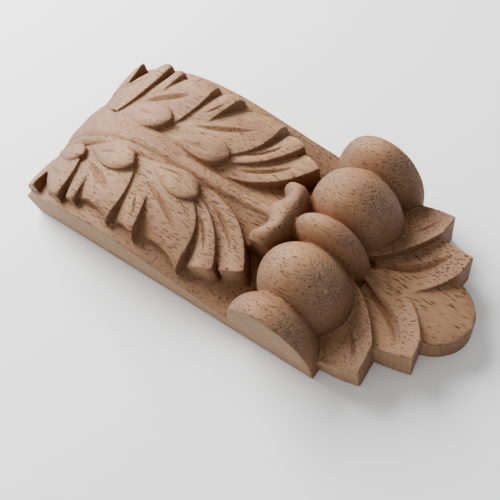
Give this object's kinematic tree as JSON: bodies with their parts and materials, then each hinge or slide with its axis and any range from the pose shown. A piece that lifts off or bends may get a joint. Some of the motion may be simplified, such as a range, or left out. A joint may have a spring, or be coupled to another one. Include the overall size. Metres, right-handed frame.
{
  "type": "carved wood applique",
  "caption": "Arched wood applique carved from one plank: acanthus leaves, a row of olives and a fan-shaped palmette, flat at the back.",
  "frame": {"origin": "centre of the flat back, midway along the length and the width", "axes": "+X along the length towards the palmette, +Y across the width, +Z out of the carved front; the back lies on z = 0"},
  "size_m": [0.1624, 0.07, 0.0332],
  "materials": {
    "pale_wood": "bare, sanded"
  },
  "bodies": {
    "root": {"carved_applique": "pale_wood"}
  },
  "joints": []
}
